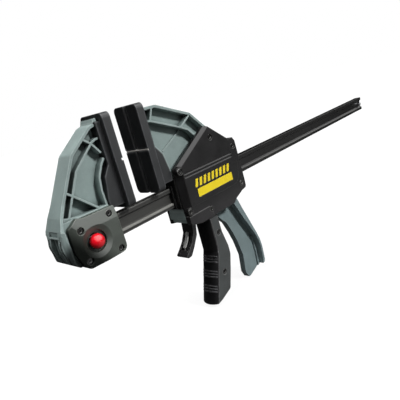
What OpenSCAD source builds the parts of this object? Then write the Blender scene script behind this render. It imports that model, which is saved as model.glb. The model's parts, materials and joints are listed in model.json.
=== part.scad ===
// Quick release bar clamp: a fixed head at one end of a steel bar, and a jaw that a pistol grip
// and a squeeze lever walk along it. X runs along the bar to its free end, Z up to the jaw tips,
// Y across. The origin is on the bar's centre line, in the plane of the fixed pad's face.

/* [Bar] */
// Length of the bar
bar_len = 638; // [420:1:1250]
// Height of the bar
bar_h = 22; // [20:0.5:24]
// Thickness of the bar across its flanges
bar_t = 10; // [8:0.5:11]
// Height of the straight outer edge of each flange
bar_flange_h = 4.4; // [3:0.1:5.5]
// Thickness of the bar's web
bar_web_t = 5; // [4:0.5:6]
// Radius of the stop pin at the bar's free end
stop_pin_r = 2.5; // [2:0.1:3]
// How far the stop pin stands out of each side of the bar
stop_pin_proud = 2; // [1.5:0.1:3]

/* [Jaws] */
// Depth of throat, from the bar's top to the pads' top edges
throat = 96.5; // [90:0.5:110]
// Gap between the pads as the clamp is stored
opening = 31.5; // [10:0.5:120]
// Width of the two ribbed jaws
jaw_w = 21.5; // [20:0.5:24]
// Width of the bases that the jaws stand on, between their covers
base_w = 26.4; // [25:0.2:29]
// Thickness of each jaw's outer flange
jaw_band_t = 2.8; // [2.4:0.1:4]
// Thickness of the stiffening ribs
jaw_rib_t = 1.9; // [1.6:0.1:3]
// Thickness of each jaw's middle web
jaw_web_t = 4; // [3:0.2:5]
// Depth of each jaw behind its pad, where it meets its housing
jaw_depth = 17; // [16:0.5:20]

/* [Pads] */
// Width of the pads
pad_w = 38; // [34:0.5:44]
// Thickness of the pads at their rims
pad_t = 9; // [7:0.5:11]
// Gap between the bar and the pads' lower edges
pad_lift = 4; // [3:0.5:7]
// Radius of the pads' corners
pad_corner_r = 5; // [2:0.5:8]
// Thickness of the boss behind each pad
pad_boss_t = 5; // [3:0.5:6]
// Depth of the heel behind each pad's lower half
pad_heel_t = 16.3; // [14:0.1:16.5]
// Width of the upright groove in each pad's face
pad_groove_w = 5; // [3:0.5:7]

/* [Fixed head] */
// Distance from the fixed pad's face to the head's rear end
head_len = 83.4; // [80:0.2:92]
// Width over the head's two covers
head_w = 42; // [40:0.5:46]
// Depth of the head below the bar's centre line
head_drop = 21; // [20:0.5:24]
// Wall thickness of the head's covers
head_wall = 3; // [2.4:0.1:3.6]
// Width over the jaw's rounded rear end, behind the covers
head_rear_w = 34; // [30:0.5:38]
// Radius of the release button's ball
button_r = 7; // [6:0.1:7.4]
// Travel of the release button
button_travel = 4; // [3:0.5:5]
// Radius of the latch pin behind the button
latch_pin_r = 3; // [2.5:0.1:3.5]

/* [Sliding housing] */
// Length of the housing along the bar
body_len = 106; // [102:0.5:120]
// Width over the housing's two covers
body_w = 42; // [40:0.5:46]
// Depth of the housing below the bar's centre line
body_drop = 37; // [36:0.5:42]
// Height of the housing's hump above the bar
body_rise = 53.5; // [50:0.5:58]
// Wall thickness of the housing's covers
body_wall = 3; // [2.4:0.1:3.6]
// Thickness of the two bar guides' collars
guide_collar_t = 2.4; // [2:0.1:3]

/* [Grip] */
// Width of the grip
grip_w = 25.5; // [24:0.5:30]
// Depth of the grip's foot below the bar's centre line
grip_reach = 143; // [135:1:160]
// Thickness of the soft strip along the grip's edges
grip_strip_t = 1; // [0.8:0.1:2]
// How far the soft strip bulges forward between its edges
grip_bulge = 4.5; // [2:0.1:6]
// Thickness of the spine inside the grip
spine_t = 8; // [6:0.5:10]

/* [Squeeze lever] */
// Thickness of the lever's web
lever_web_t = 8; // [6:0.5:9]
// Width of the lever's palm flange
palm_w = 26; // [22:0.5:27]
// Depth of the lever's toe below the bar's centre line
lever_reach = 146.5; // [138:0.5:160]
// Radius of the lever's pivot pin
lever_pin_r = 3; // [2.5:0.1:3.5]
// Angle that the lever swings through
lever_travel = 15; // [10:1:15]

/* [Release trigger] */
// Width of the trigger
trigger_w = 17.5; // [15:0.5:19]
// Radius of the trigger's pivot pin
trigger_pin_r = 2.5; // [2:0.1:3]
// Angle that the trigger swings through
trigger_travel = 12; // [8:1:12]

/* [Plates and springs] */
// Thickness of each of the two drive plates
drive_plate_t = 3; // [2.4:0.2:3.4]
// Thickness of the brake plate
brake_plate_t = 4; // [3:0.2:4.4]
// Width of the drive plates and the brake plate
plate_w = 25; // [22:0.5:26]
// Wire thickness of the two springs around the bar
spring_wire = 1.8; // [1.4:0.1:2]
// Turns in the drive spring
drive_turns = 4; // [3:1:5]
// Turns in the brake spring
brake_turns = 2; // [2:1:3]

/* [Fasteners] */
// Radius of the housing screws' shanks
screw_r = 1.5; // [1.2:0.1:1.6]
// Radius of the housing screws' heads
screw_head_r = 3.2; // [2.8:0.1:3.4]
// Height of the housing screws' heads
screw_head_h = 1.8; // [1.4:0.1:2.2]

/* [Fits] */
// Gap between parts that slide past each other
slide_gap = 0.3; // [0.2:0.05:0.4]
// Radial clearance of the pivot pins and the latch pin
pin_fit = 0.05; // [0.03:0.01:0.08]
// Gap between parts that are screwed or clipped together
seat_gap = 0.1; // [0.05:0.05:0.2]
// Radial gap of pins that are pressed home
press_gap = 0.02; // [0.01:0.005:0.03]

/* [Hidden] */
$fn = 48;
arc_steps = 4;   // segments in each rounded corner of an outline
overlap = 0.5;   // how deep joined features run into each other
cut_past = 1;    // how far a cut runs past the face that it opens

// Colours
steel_black = [0.16, 0.16, 0.16];
steel_bright = [0.62, 0.63, 0.65];
jaw_grey = [0.56, 0.61, 0.60];
lever_grey = [0.42, 0.47, 0.48];
shell_black = [0.17, 0.17, 0.165];
head_black = [0.23, 0.25, 0.23];
rubber_black = [0.09, 0.09, 0.095];
button_red = [0.85, 0.02, 0.08];
label_yellow = [0.93, 0.82, 0.12];

// Levels
bar_top = bar_h / 2;
pad_top = bar_top + throat;
pad_bottom = bar_top + pad_lift;
pad_mid = (pad_top + pad_bottom) / 2;
pad_boss_u = pad_t + pad_boss_t;       // back of the boss, measured from the pad's face
pad_heel_u = pad_t + pad_heel_t;       // back of the heel

// Places along the bar
head_front = -(pad_t + jaw_depth);
head_back = -head_len;
head_cover_back = head_back + 7.7;
bar_back = head_back + 7.4;
bar_end = bar_back + bar_len;
stop_pin_x = bar_end - 9;
body_front = opening + pad_t + jaw_depth;
body_back = body_front + body_len;

// The head's core, between its two covers
core_front = head_front - 1.5;
core_low = -(head_drop - head_wall - 0.7);
base_z = bar_top + 14;                 // top of the head's core and of its covers
latch = [head_back + 30.2, 0.4];
latch_pocket_r = button_r + 0.5;
latch_pocket_d = button_travel + 2.6;  // leaves room for the pressed spring
button_recess_r = button_r + 3.4;
button_dish_r = button_r + 8.4;
button_ball_y = head_w / 2 - 1.3;      // how far the ball's centre is from the mid-plane
button_shank_r = button_r - 1.4;
recess_floor_t = 1.8;                  // floor around the button, at the bottom of its recess
rear_cap_front = head_cover_back - 1.8;

// The housing's core
beside_base = base_w / 2 + 0.4;        // inner face of the covers' rims, beside a jaw's base
rail_top = bar_top + 15;               // top of the rail above the bar
rail_t = 6;
rail_low = rail_top - rail_t;
floor_top = -(body_drop - 7.5);        // bottom rail below the bar
floor_t = 3.5;
floor_low = floor_top - floor_t;
nose_top = -bar_top - 3.5;             // top of the housing's nose, under the bar
guide_front_back = body_front + 4.7;
bulkhead_front = [guide_front_back + seat_gap, body_front + 8.5];
bulkhead_mid = [body_front + 32.5, body_front + 40.5];
bulkhead_rear_low = -bar_top - 10;

// Pivots, as [x, z]
lever_pivot = [body_back - 39.5, -bar_top - 9];
trigger_pivot = [body_front + 23.5, -bar_top - 16];
lever_boss_r = lever_pin_r + 2.5;
trigger_boss_r = trigger_pin_r + 2.3;
lever_nose_r = 4;
lever_nose = [lever_pivot[0] + 1, lever_pivot[1] + 22];
lever_arm_in = bar_t / 2 + 1;
lever_arm_t = 3.5;
trigger_nose_r = 2;
trigger_nose = [trigger_pivot[0] + 2.1, trigger_pivot[1] + 10];

// The brake plate hangs from a slot in the rail, leaning until the trigger stands it up
brake_ratio = 0.2667;
brake_tilt = brake_ratio * trigger_travel;
brake_hang_z = rail_low + 0.8;
brake_nose_drop = brake_hang_z - trigger_nose[1];
brake_hang = [
    trigger_nose[0] - (trigger_nose_r + slide_gap + brake_plate_t / 2) / cos(brake_tilt)
        - brake_nose_drop * tan(brake_tilt),
    brake_hang_z
];
brake_plate_low = trigger_nose[1] - 1.5;
drive_plate_x = lever_nose[0] + lever_nose_r + slide_gap;
drive_plates_back = drive_plate_x + 2 * drive_plate_t + seat_gap;
drive_plate_top = rail_low - 2;
drive_plate_low = -bar_top - 4;
spring_r = norm([bar_top, bar_t / 2]) + slide_gap + spring_wire / 2 + 0.8;

// The rear bulkhead stands behind the drive spring, with room for the plates' travel
drive_travel = (lever_nose[1] - lever_pivot[1]) * sin(lever_travel);
bulkhead_rear = [
    drive_plates_back + drive_travel + (drive_turns + 1) * spring_wire + 1.8, body_back - 5.5
];

// The grip's upper front corner, in front of the lever's pivot
grip_x = lever_pivot[0] - 29.2;
grip_top = -body_drop + 2.6;

// Screws of the head and the housing, as [x, z]
head_screws_at = [
    [head_front - 7.4, bar_top + 8.2], [head_back + 18, bar_top + 4.2],
    [head_front - 6.5, -bar_top - 5.5], [head_back + 17.4, -bar_top - 2.7]
];
body_screws_at = [
    [body_front + 5.5, bar_top + 16], [body_front + 62.5, bar_top + 39],
    [body_back - 8.5, bar_top + 19], [body_front + 5.5, -bar_top - 8],
    [body_front + 37.5, floor_top + 1.5], [body_back - 7.5, -bar_top - 6.5]
];
// How far each of the housing's screw posts stays from the mid-plane: one ends at the jaw's web
body_post_ends = [beside_base, jaw_web_t / 2 + seat_gap, beside_base, beside_base, beside_base, beside_base];
grip_screws_at = [[grip_x + 8.7, grip_top - 27.6], [grip_x + 1.9, -grip_reach + 31.5]];
screw_hole_r = screw_r + seat_gap;
screw_pilot_r = screw_r + press_gap;
screw_boss_r = screw_r + 2.1;
screw_way_r = screw_r + 0.3;
screw_sink = 0.4;                      // how far a screw's head lies below the cover's face
screw_tip = 2;                         // wall left beyond a screw's tip
front_screw_end = 15.8;                // where the two front screws end, short of the covers' bevel
function body_screw_end(at) = at[0] < body_front + 8 ? front_screw_end : body_w / 2 - screw_tip;

// ---------------------------------------------------------------------------------------------
// Outlines
// ---------------------------------------------------------------------------------------------

function unit(v) = v / norm(v);
function flat(p) = [p[0], p[1]];
function half_turn(a) = a > 180 ? a - 360 : a < -180 ? a + 360 : a;

// The arc of radius r that rounds the corner at a point, between its two neighbours
function corner_arc(before, at, after, r) =
    let (
        back = unit(before - at),
        ahead = unit(after - at),
        half = acos(max(-1, min(1, back * ahead))) / 2,
        centre = at + unit(back + ahead) * r / sin(half),
        first = at + back * r / tan(half) - centre,
        last = at + ahead * r / tan(half) - centre,
        start = atan2(first[1], first[0]),
        sweep = half_turn(atan2(last[1], last[0]) - start)
    )
    [for (i = [0:arc_steps]) centre + r * [cos(start + sweep * i / arc_steps),
                                           sin(start + sweep * i / arc_steps)]];

// An outline of [x, z, r] corners, each rounded by its own radius
function rounded(corners) =
    let (n = len(corners))
    [for (i = [0:n - 1])
        let (p = corners[i], a = flat(corners[(i + n - 1) % n]), b = flat(corners[(i + 1) % n]))
        each (len(p) > 2 && p[2] > 0 ? corner_arc(a, flat(p), b, p[2]) : [flat(p)])];

// The same outline moved inward by d; its corners run anticlockwise
function inward(a, b) = let (d = unit(b - a)) [-d[1], d[0]];
function inset(corners, d) =
    let (n = len(corners))
    [for (i = [0:n - 1])
        let (
            p = corners[i],
            m = inward(flat(corners[(i + n - 1) % n]), flat(p)),
            k = inward(flat(p), flat(corners[(i + 1) % n])),
            q = flat(p) + (m + k) * d / (1 + m * k)
        )
        [q[0], q[1], max((len(p) > 2 ? p[2] : 0) - d, 0)]];

// The outline of a strip of thickness t along a path, each bend rounded by its own radius
function bent(path) =
    [for (i = [0:len(path) - 1])
        let (p = path[i], inner = i > 0 && i < len(path) - 1)
        each (inner && len(p) > 2 ? corner_arc(flat(path[i - 1]), flat(p), flat(path[i + 1]), p[2])
                                  : [flat(p)])];
function beside(line, d) =
    [for (i = [0:len(line) - 1])
        let (
            m = inward(line[max(i - 1, 0)], line[max(i, 1)]),
            k = inward(line[min(i, len(line) - 2)], line[min(i + 1, len(line) - 1)])
        )
        line[i] + (m + k) * d / (1 + m * k)];
function backwards(list) = [for (i = [len(list) - 1:-1:0]) list[i]];
function strip(path, t) = concat(beside(bent(path), -t / 2), backwards(beside(bent(path), t / 2)));

// An I-shaped section in Y and Z
function i_section(t, h, flange, web) =
    let (slope = (t - web) / 2 * 0.8, a = h / 2, b = h / 2 - flange, c = h / 2 - flange - slope)
    [[-t / 2, -a], [t / 2, -a], [t / 2, -b], [web / 2, -c], [web / 2, c], [t / 2, b],
     [t / 2, a], [-t / 2, a], [-t / 2, b], [-web / 2, c], [-web / 2, -c], [-t / 2, -b]];

// A rectangle around the origin, with rounded corners
function plate_outline(w, h, r) =
    rounded([[-w / 2, -h / 2, r], [w / 2, -h / 2, r], [w / 2, h / 2, r], [-w / 2, h / 2, r]]);

// ---------------------------------------------------------------------------------------------
// Building blocks
// ---------------------------------------------------------------------------------------------

// Extrudes an outline in X and Z from one Y to another
module slab(y_from, y_to) {
    translate([0, y_to, 0]) rotate([90, 0, 0]) linear_extrude(y_to - y_from) children();
}

// The same, centred across the mid-plane
module across(w) {
    slab(-w / 2, w / 2) children();
}

// Extrudes an outline in Y and Z along X
module along(x_from, x_to) {
    translate([x_from, 0, 0]) rotate([90, 0, 90]) linear_extrude(x_to - x_from) children();
}

// A round rod along Y at a point [x, z]
module rod(at, r, y_from, y_to) {
    translate([at[0], y_from, at[1]]) rotate([-90, 0, 0]) cylinder(r = r, h = y_to - y_from);
}

// A block between two corners
module block(from, to) {
    translate(from) cube(to - from);
}

// A rectangle between two corners
module frame_face(low, high) {
    translate(low) square(high - low);
}

// A rib of even thickness along a path of [x, z, r] points
module band(path, t) {
    polygon(strip(path, t));
}

// The bar's way through a part, from one x to another
module bar_way(x_from, x_to, gap) {
    along(x_from, x_to) square([bar_t + 2 * gap, bar_h + 2 * gap], center = true);
}

// A coil spring along X, its wire swept as a ring of eight sides
module coil(x_from, x_to, r, wire, turns) {
    sides = 8;
    steps = 14 * turns;
    run = x_to - x_from - wire;
    spots = [for (i = [0:steps], j = [0:sides - 1])
        let (a = 360 * turns * i / steps, b = 360 * j / sides, out = r + wire / 2 * cos(b))
        [x_from + wire / 2 + run * i / steps + wire / 2 * sin(b), out * cos(a), out * sin(a)]];
    skin = [for (i = [0:steps - 1], j = [0:sides - 1])
        let (p = i * sides + j, q = i * sides + (j + 1) % sides)
        each [[p, q, q + sides], [p, q + sides, p + sides]]];
    start = [for (j = [sides - 1:-1:0]) j];
    end = [for (j = [0:sides - 1]) steps * sides + j];
    polyhedron(spots, concat([start], skin, [end]), convexity = 6);
}

// A screw that enters from the left side at [x, z], its head just under the face there
module screw(at, head_face, tip) {
    head_top = -head_face + screw_sink;
    difference() {
        union() {
            rod(at, screw_head_r, head_top, head_top + screw_head_h);
            rod(at, screw_r, head_top + screw_head_h - overlap, tip);
        }
        rod(at, 1.6, head_top - cut_past, head_top + 1, $fn = 6);
    }
}

// The hole for that screw in the left cover: a pocket for the head and a way for the shank
module screw_seat(at, head_face) {
    pocket = -head_face + screw_sink + screw_head_h;
    rod(at, screw_head_r + 0.25, -head_face - cut_past, pocket);
    rod(at, screw_hole_r, pocket - overlap, 0);
}

// ---------------------------------------------------------------------------------------------
// Bar
// ---------------------------------------------------------------------------------------------

module bar() {
    color(steel_black)
    difference() {
        along(bar_back, bar_end) polygon(i_section(bar_t, bar_h, bar_flange_h, bar_web_t));
        rod(latch, latch_pin_r + pin_fit, -bar_t, bar_t);
        rod([stop_pin_x, 0], stop_pin_r + press_gap, -bar_t, bar_t);
    }
}

module bar_stop_pin() {
    color(steel_bright)
    rod([stop_pin_x, 0], stop_pin_r, -bar_t / 2 - stop_pin_proud, bar_t / 2 + stop_pin_proud);
}

// ---------------------------------------------------------------------------------------------
// Pads
// ---------------------------------------------------------------------------------------------

boss_low = pad_mid + 1;
boss_high = pad_top - 7;
tongue_u = pad_t + 1.5;

// One pad, its face at x = 0 and its body towards +X
module pad() {
    heel = [
        [pad_t - overlap, pad_bottom + 5, 0], [pad_heel_u, pad_bottom + 5, 1.5],
        [pad_heel_u, pad_bottom + 14, 3], [pad_heel_u - 4, pad_mid - 11, 3],
        [pad_boss_u, boss_low - 2, 0], [pad_boss_u, boss_high, 1], [pad_t - overlap, boss_high, 0]
    ];
    color(rubber_black)
    difference() {
        union() {
            translate([0, 0, pad_mid]) along(0, pad_t)
                polygon(plate_outline(pad_w, pad_top - pad_bottom, pad_corner_r));
            across(base_w) polygon(rounded(heel));
        }
        // upright groove, with the two bevels beside it
        translate([0, 0, pad_bottom - cut_past]) linear_extrude(pad_top - pad_bottom + 2 * cut_past)
            polygon([[-cut_past, -pad_groove_w / 2 - cut_past], [-cut_past, pad_groove_w / 2 + cut_past],
                     [0, pad_groove_w / 2], [pad_groove_w * 0.6, pad_groove_w / 4],
                     [pad_groove_w * 0.6, -pad_groove_w / 4], [0, -pad_groove_w / 2]]);
        // level groove at half height
        block([-cut_past, -pad_w, pad_mid - 1.2], [1.8, pad_w, pad_mid + 1.2]);
        // slot for the jaw's tongue
        block([tongue_u - seat_gap, -jaw_web_t / 2 - seat_gap, boss_low + 4 - seat_gap],
              [pad_boss_u + cut_past, jaw_web_t / 2 + seat_gap, boss_high - 4 + seat_gap]);
    }
}

module fixed_jaw_pad() {
    mirror([1, 0, 0]) pad();
}

module moving_jaw_pad() {
    translate([opening, 0, 0]) pad();
}

// ---------------------------------------------------------------------------------------------
// Fixed head
// ---------------------------------------------------------------------------------------------

// Places on the fixed jaw are given as [u, z], where u is the distance behind its pad's face
function rounded_at(p, r) = [p[0], p[1], r];
function behind_fixed(points) = [for (p = points) len(p) > 2 ? [-p[0], p[1], p[2]] : [-p[0], p[1]]];

rib_start = pad_boss_u + 0.5;          // where flanges and ribs begin, behind the pad's boss
fixed_tip = [20, pad_top - 10.5];
fixed_shoulder = [45.5, pad_top - 29.5];
fixed_knee = [head_len - 8.7, bar_top + 18.7];
fixed_rump = [head_len - 4.2, bar_top + 8.4];
fixed_back_path = behind_fixed([
    [rib_start, pad_top - 9], rounded_at(fixed_tip, 5), rounded_at(fixed_shoulder, 6),
    rounded_at(fixed_knee, 5), fixed_rump, [head_len - 2.5, bar_top + 2]
]);
fixed_inner_rib = behind_fixed([
    [rib_start, pad_top - 21.4], [17.6, pad_top - 21.9, 3], [22, pad_top - 23.6, 5],
    [46.3, pad_top - 44.1, 3], [head_len - 15, base_z]
]);
fixed_front_path = behind_fixed([
    [rib_start + 0.5, pad_mid + 6], [19.7, pad_mid + 0.3, 5], [25.6, pad_mid - 9.8, 8],
    [27.5, pad_mid - 22, 8], [27.2, base_z - 1]
]);
fixed_upper_rib = behind_fixed([
    [30, pad_top - 18.8], [23, pad_top - 24.7, 12], [rib_start + 1.5, pad_top - 35]
]);
fixed_lower_rib = behind_fixed([
    [62, bar_top + 38], [56, bar_top + 32.8], [36.5, base_z + 1]
]);
fixed_base = behind_fixed([
    [head_len - 10, base_z - 2], [28, base_z - 2], [28, base_z - 0.3], [57, base_z + 0.8],
    [head_len - 11, base_z + 4]
]);
tip_hook = behind_fixed([
    [pad_t + 1, boss_high + 0.3], [pad_boss_u, boss_high + 0.3], [rib_start + 1.5, boss_high - 1.5],
    [pad_boss_u, pad_top - 3.5], [pad_t + 2, pad_top - 3.5]
]);
fixed_web = behind_fixed([
    [tongue_u, boss_high - 4], [rib_start + 1, boss_high - 4], [rib_start + 1, pad_top - 9],
    fixed_tip, fixed_shoulder, fixed_knee, fixed_rump, [head_len - 4, base_z - 4], [28, base_z - 4],
    [27.5, pad_mid - 22], [25.6, pad_mid - 9.8], [19.7, pad_mid + 0.3], [rib_start + 1, pad_mid + 6],
    [rib_start + 1, boss_low + 4], [tongue_u, boss_low + 4]
]);
rear_profile = [
    [head_back + 3, bar_top + 9, 1], [head_back - 0.4, bar_top - 6, 14], [head_back + 2.9, -bar_top - 0.3, 2]
];
fixed_core = concat(
    [[core_front, core_low, 1], [core_front, base_z + 0.5, 0.5], [head_back + 9, base_z + 1, 0]],
    rear_profile, [[head_back + 10, core_low, 2]]
);

rear_flat_w = 20;                      // flat across the jaw's rounded rear end
flare_low = bar_top + 5;               // the flare's heights, from its wide foot to the jaw's back
flare_mid = bar_top + 19;
flare_high = bar_top + 29;
flare_side = jaw_w / 2 + 1.7;          // half width of the flare at its middle

// The jaw's rounded rear end, wider than its core, and the flare that runs up from it
module rear_cap() {
    side = head_rear_w / 2;
    foot = side - 1.5;
    corner = side - rear_flat_w / 2;
    intersection() {
        across(head_rear_w)
            polygon(rounded(concat([[rear_cap_front, base_z - 6, 0]], rear_profile,
                                   [[rear_cap_front, -bar_top - 2.6, 0]])));
        translate([0, 0, -head_drop]) linear_extrude(head_drop + base_z)
            polygon(rounded([[rear_cap_front + overlap, -side, 0], [rear_cap_front + overlap, side, 0],
                             [head_back, side, corner], [head_back, -side, corner]]));
    }
    intersection() {
        across(head_rear_w) band([for (i = [2:5]) flat(fixed_back_path[i])], jaw_band_t);
        along(head_back - cut_past, head_back + 20)
            polygon([[-foot, flare_low], [foot, flare_low], [flare_side, flare_mid],
                     [jaw_w / 2, flare_high], [-jaw_w / 2, flare_high], [-flare_side, flare_mid]]);
    }
}

rear_slot_w = 9;                       // open slot behind the bar's end
rear_slot_rim = 14;                    // its wide outer part
rear_slot_rim_d = 4;
rear_slot_high = bar_top + 2.5;
ledge_w = 16;                          // ledge over the slot
ledge_d = 3.2;
ledge_low = bar_top + 4;
ledge_high = bar_top + 8.5;
rear_groove_y = 11;                    // groove on each side of the slot
rear_groove_w = 2.2;
rear_groove_d = 3;
rear_cut_low = -bar_top - 5;           // the lower end of the slot's outer part and of the grooves
rear_knee_z = -4;                      // below this they follow the jaw's sloping rear end
rear_slope = 3.4;
rear_groove_high = 12;

// Side outline of a cut into the jaw's rear end, d deep and up to the height high
function rear_cut(d, high) = [
    [head_back - cut_past, rear_cut_low], [head_back - cut_past, high], [head_back + d, high],
    [head_back + d, rear_knee_z], [head_back + d + rear_slope, rear_cut_low]
];

module fixed_jaw_frame() {
    color(jaw_grey)
    difference() {
        union() {
            across(jaw_w) {
                band(fixed_back_path, jaw_band_t);
                band(fixed_inner_rib, jaw_rib_t);
                band(fixed_front_path, jaw_rib_t);
                band(fixed_upper_rib, jaw_rib_t);
                band(fixed_lower_rib, jaw_rib_t);
                polygon(fixed_base);
                polygon(tip_hook);
            }
            across(jaw_web_t) polygon(fixed_web);
            across(base_w) polygon(rounded(fixed_core));
            rear_cap();
        }
        bar_way(bar_back - seat_gap, head_front + cut_past, seat_gap);
        // open slot behind the bar's end
        block([head_back - cut_past, -rear_slot_w / 2, -bar_top - 3],
              [bar_back, rear_slot_w / 2, rear_slot_high]);
        across(rear_slot_rim) polygon(rear_cut(rear_slot_rim_d, rear_slot_high));
        block([head_back - cut_past, -ledge_w / 2, ledge_low],
              [head_back + ledge_d, ledge_w / 2, ledge_high]);
        for (side = [-1, 1])
            translate([0, side * rear_groove_y, 0])
                across(rear_groove_w) polygon(rear_cut(rear_groove_d, rear_groove_high));
        rod(latch, latch_pin_r + pin_fit, -head_w, head_w);
        rod(latch, latch_pocket_r, -head_w, -base_w / 2 + latch_pocket_d);
        for (at = head_screws_at) rod(at, screw_way_r, -head_w, head_w);
    }
}

head_outline = [
    [head_front, -head_drop + 0.5, 6], [head_front, base_z - 0.6, 1], [head_back + 23, base_z, 0],
    [head_back + 21, base_z + 1, 0], [head_back + 18.2, base_z + 1.4, 1],
    [head_cover_back + 0.4, bar_top + 9, 2], [head_cover_back, -bar_top + 8, 8],
    [head_cover_back + 3.7, -head_drop + 5.5, 4], [head_cover_back + 7.4, -head_drop + 0.6, 4],
    [head_front - 22, -head_drop, 0]
];

top_bevel = 12;                        // lean of the cover's side, from just above the bar's way
top_bevel_z = bar_top + 2.5;
rear_bevel = 17;                       // slope of the cover's side, up to its rear edge
rear_bevel_in = 3;
head_boss_wall = 1.3;                  // wall of the posts around the screws' heads
head_screw_sink = 1.5;                 // extra depth of the screws' heads, to suit that lean

// One cover of the head, on the left side (-Y)
module head_cover() {
    in_y = beside_base;
    out_y = head_w / 2;
    difference() {
        union() {
            // side wall
            slab(-out_y, -out_y + head_wall) polygon(rounded(head_outline));
            // rim around the core
            difference() {
                slab(-out_y + head_wall - overlap, -in_y) polygon(rounded(head_outline));
                slab(-out_y, 0) polygon(rounded(inset(head_outline, head_wall)));
            }
            // floor under the core, to the mid-plane
            difference() {
                slab(-in_y - overlap, -seat_gap / 2) polygon(rounded(head_outline));
                block([-head_len, -out_y, core_low - slide_gap], [head_len, out_y, pad_top]);
            }
            // posts around the screws and the button
            for (at = head_screws_at)
                rod(at, screw_head_r + head_boss_wall, -out_y + head_wall - overlap, -in_y);
            rod(latch, button_dish_r + 1, -out_y + head_wall - overlap, -in_y);
        }
        // bevels along the top and up the rear edge
        translate([head_back, -out_y, top_bevel_z]) rotate([-top_bevel, 0, 0])
            translate([-cut_past, -head_w, 0]) cube([head_len, head_w, head_w]);
        translate([head_cover_back, -out_y + rear_bevel_in, -head_w]) rotate([0, 0, -rear_bevel])
            translate([-head_w, -head_w, 0]) cube([2 * head_w, head_w, 2 * head_w]);
    }
}

module head_cover_left() {
    out_y = head_w / 2;
    color(head_black)
    difference() {
        head_cover();
        rod(latch, button_recess_r, -out_y - cut_past, -beside_base - recess_floor_t);
        rod(latch, button_r + slide_gap, -out_y, 0);
        translate([latch[0], -out_y - 0.01, latch[1]]) rotate([-90, 0, 0])
            cylinder(r1 = button_dish_r, r2 = button_recess_r - 0.5, h = 2.2);
        for (at = head_screws_at) {
            rod(at, screw_head_r + 0.25, -head_w, -out_y + head_screw_sink + screw_sink + screw_head_h);
            rod(at, screw_hole_r, -head_w, 0);
        }
    }
}

module head_cover_right() {
    color(head_black)
    difference() {
        mirror([0, 1, 0]) head_cover();
        for (at = head_screws_at) rod(at, screw_pilot_r, 0, head_w / 2 - screw_tip + seat_gap);
        rod(latch, latch_pin_r + slide_gap, 0, head_w / 2 - screw_tip + seat_gap);
    }
}

module head_screws() {
    color(steel_black)
    for (at = head_screws_at) screw(at, head_w / 2 - head_screw_sink, head_w / 2 - screw_tip);
}

button_back = -base_w / 2 - 1.4;       // underside of the button, above its pocket
button_socket = 4;                     // how deep the latch pin sits in the button

module change_button() {
    color(button_red)
    difference() {
        union() {
            rod(latch, button_shank_r, -button_ball_y, button_back);
            difference() {
                translate([latch[0], -button_ball_y, latch[1]]) sphere(button_r);
                rod(latch, button_r, button_back, 0);
            }
        }
        rod(latch, latch_pin_r + press_gap, button_back - button_socket, 0);
    }
}

module latch_pin() {
    color(steel_bright)
    rod(latch, latch_pin_r, button_back - button_socket + seat_gap, base_w / 2 - 2);
}

module button_spring() {
    wire = 0.6;
    turns = 4;
    floor_y = -base_w / 2 + latch_pocket_d;
    color(steel_bright)
    translate([latch[0], 0, latch[1]]) rotate([0, 0, 90])
        coil(button_back + seat_gap, floor_y - seat_gap, latch_pin_r + 1, wire, turns);
}

// ---------------------------------------------------------------------------------------------
// Moving jaw and its chassis
// ---------------------------------------------------------------------------------------------

apex = [body_front + 60, bar_top + body_rise];     // hump of the housing
front_top = [body_front + 0.5, bar_top + 20];      // where the housing's front meets the jaw
hump_back = [body_back - 15.5, bar_top + 29.5];
jaw_end = [apex[0] + 10.6, apex[1] - 4.6];

moving_shoulder = [opening + 30.4, pad_top - 7.8];
moving_knee = [opening + 76.3, pad_top - 26.5];
moving_top_path = [
    [opening + rib_start, pad_top - 8], rounded_at(moving_shoulder, 8), rounded_at(moving_knee, 8), jaw_end,
    [jaw_end[0], rail_top - 1]
];
moving_inner_rib = [
    [opening + rib_start, pad_top - 20.6], [opening + 19, pad_top - 21, 6], [opening + 57.5, pad_top - 37],
    [opening + 68, pad_top - 42.3, 4], [apex[0] - 5.8, apex[1] - 12]
];
moving_front_rib = [
    [opening + 25.5, pad_top - 9], [opening + 19.4, pad_top - 21]
];
moving_rear_rib = [
    [opening + 74.5, pad_top - 28], [opening + 59, pad_top - 37.3]
];
moving_low_rib = [
    [opening + 61.5, pad_top - 41], [opening + 30.5, pad_mid - 10.2]
];
moving_front_path = [
    [opening + rib_start + 0.7, boss_low + 5], [opening + rib_start + 0.7, boss_low - 1.2],
    [opening + pad_heel_u - 1.3, pad_mid - 11.2], [opening + pad_heel_u + 1.6, pad_bottom + 14],
    [body_front + 2.5, rail_top - 1]
];
moving_web = [
    [opening + tongue_u, boss_high - 4], [opening + rib_start + 1, boss_high - 4],
    [opening + rib_start + 1, pad_top - 8.5], moving_shoulder, moving_knee, jaw_end,
    [jaw_end[0], rail_top - 2], [body_front + 2.5, rail_top - 2],
    [opening + pad_heel_u + 1.6, pad_bottom + 14], [opening + pad_heel_u - 1.3, pad_mid - 11.2],
    [opening + rib_start + 1, boss_low - 1.2], [opening + rib_start + 1, boss_low + 4],
    [opening + tongue_u, boss_low + 4]
];

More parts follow.
